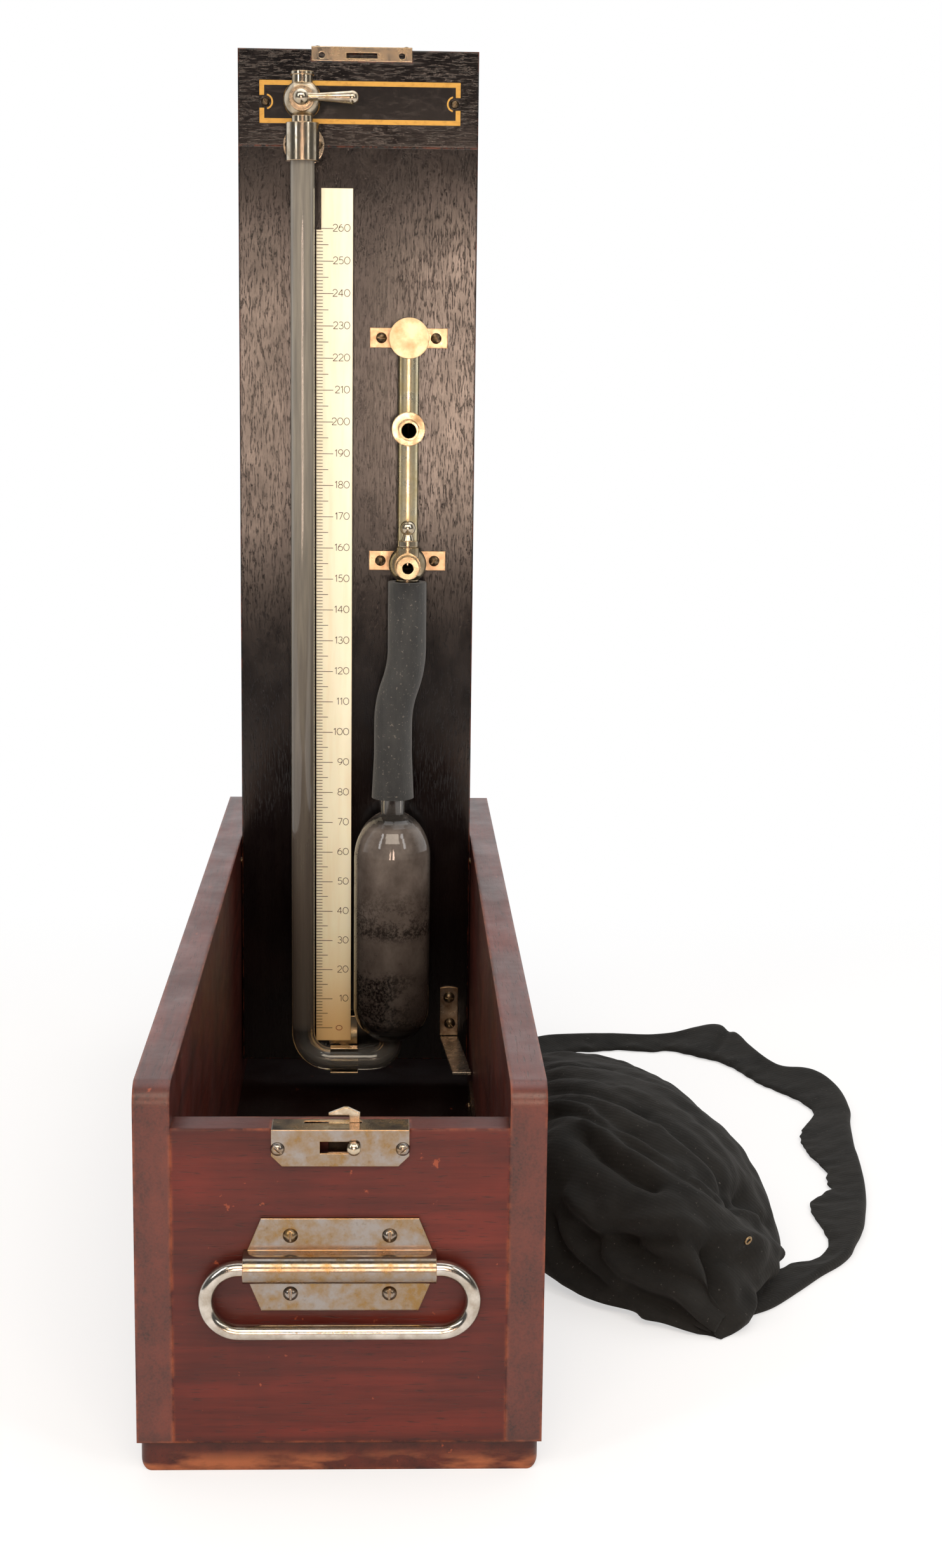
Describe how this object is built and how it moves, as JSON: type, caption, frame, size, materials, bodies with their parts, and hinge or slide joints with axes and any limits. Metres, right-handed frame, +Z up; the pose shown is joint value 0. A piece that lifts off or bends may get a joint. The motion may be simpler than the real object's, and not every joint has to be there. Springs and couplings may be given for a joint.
{
  "type": "mercury sphygmomanometer",
  "caption": "Blood-pressure manometer in a long mahogany box: the hinged lid stands up as a board with U-shaped glass, scale and valves; a folded cloth cuff lies beside it.",
  "frame": {"origin": "centre of the case's underside, on the table", "axes": "+X across the case to the cuff's side, +Y to the back of the case, +Z up the standing lid"},
  "size_m": [0.2121, 0.3417, 0.3405],
  "materials": {
    "mahogany": "oiled and waxed, worn",
    "ebonised": "black stained and polished",
    "nickel": "aged nickel plating on brass",
    "screw_steel": "darkened",
    "black_enamel": "gloss",
    "celluloid": "satin, yellowed",
    "tube_glass": "clear, with a grey film inside",
    "black_rubber": "matte, perished",
    "black_cloth": "matte"
  },
  "bodies": {
    "case": {"base_board": "mahogany", "front_panel": "mahogany", "back_panel": "mahogany", "left_wall": "mahogany", "right_wall": "mahogany", "pivot_pins": "screw_steel", "lock_plate": "nickel", "lock_screws": "nickel", "handle_plate": "nickel", "handle_screws": "nickel", "catch_strip": "nickel", "catch_strip_screws": "nickel"},
    "lid": {"lid_board": "ebonised", "lid_cleat": "ebonised", "strike_plate": "nickel", "strike_screws": "screw_steel", "name_plate": "black_enamel", "name_plate_screws": "screw_steel", "scale_plate": "celluloid", "scale_bracket": "nickel", "scale_stays": "nickel", "tube_clip": "nickel", "manometer_glass": "tube_glass", "top_ferrule": "nickel", "ferrule_screws": "screw_steel", "top_valve_body": "nickel", "rubber_hose": "black_rubber", "lower_valve_body": "nickel", "lower_strap": "nickel", "lower_strap_screws": "screw_steel", "manifold_pipe": "nickel", "upper_nipple": "nickel", "cap_drum": "nickel", "upper_strap": "nickel", "upper_strap_screws": "screw_steel", "catch_leaf_foot": "nickel", "catch_leaf_screws": "screw_steel"},
    "latch": {"latch_slide": "nickel"},
    "bail": {"bail_handle": "nickel"},
    "top_key": {"top_valve_key": "nickel"},
    "lower_key": {"lower_valve_key": "nickel"},
    "leaf": {"catch_leaf_arm": "nickel"},
    "cuff": {"cuff_bundle": "black_cloth", "cuff_strap": "black_cloth"}
  },
  "joints": [
    {"name": "lid_hinge", "type": "hinge", "parent": "case", "child": "lid", "pos_m": [0, 0.0911, 0.0837], "axis": [1, 0, 0], "range_deg": [0, 90]},
    {"name": "top_valve_turn", "type": "hinge", "parent": "lid", "child": "top_key", "pos_m": [-0.0168, 0.0763, 0.32265], "axis": [0, 1, 0], "range_deg": [0, 90]},
    {"name": "lower_valve_turn", "type": "hinge", "parent": "lid", "child": "lower_key", "pos_m": [0.016, 0.0725, 0.188], "axis": [0, 0, 1], "range_deg": [0, 90]},
    {"name": "latch_push", "type": "slide", "parent": "case", "child": "latch", "axis": [1, 0, 0], "range_m": [-0.005, 0]},
    {"name": "bail_swing", "type": "hinge", "parent": "case", "child": "bail", "pos_m": [0, -0.1702, 0.0499], "axis": [1, 0, 0], "range_deg": [-110, 0]},
    {"name": "leaf_flex", "type": "hinge", "parent": "lid", "child": "leaf", "pos_m": [0.03085, 0.0886, 0.0249], "axis": [0, 0, 1], "range_deg": [-5, 0], "stiffness_Nm_per_rad": 0.2},
    {"name": "cuff_lift", "type": "slide", "parent": "case", "child": "cuff", "axis": [0, 0, 1], "range_m": [0, 0.15]}
  ]
}
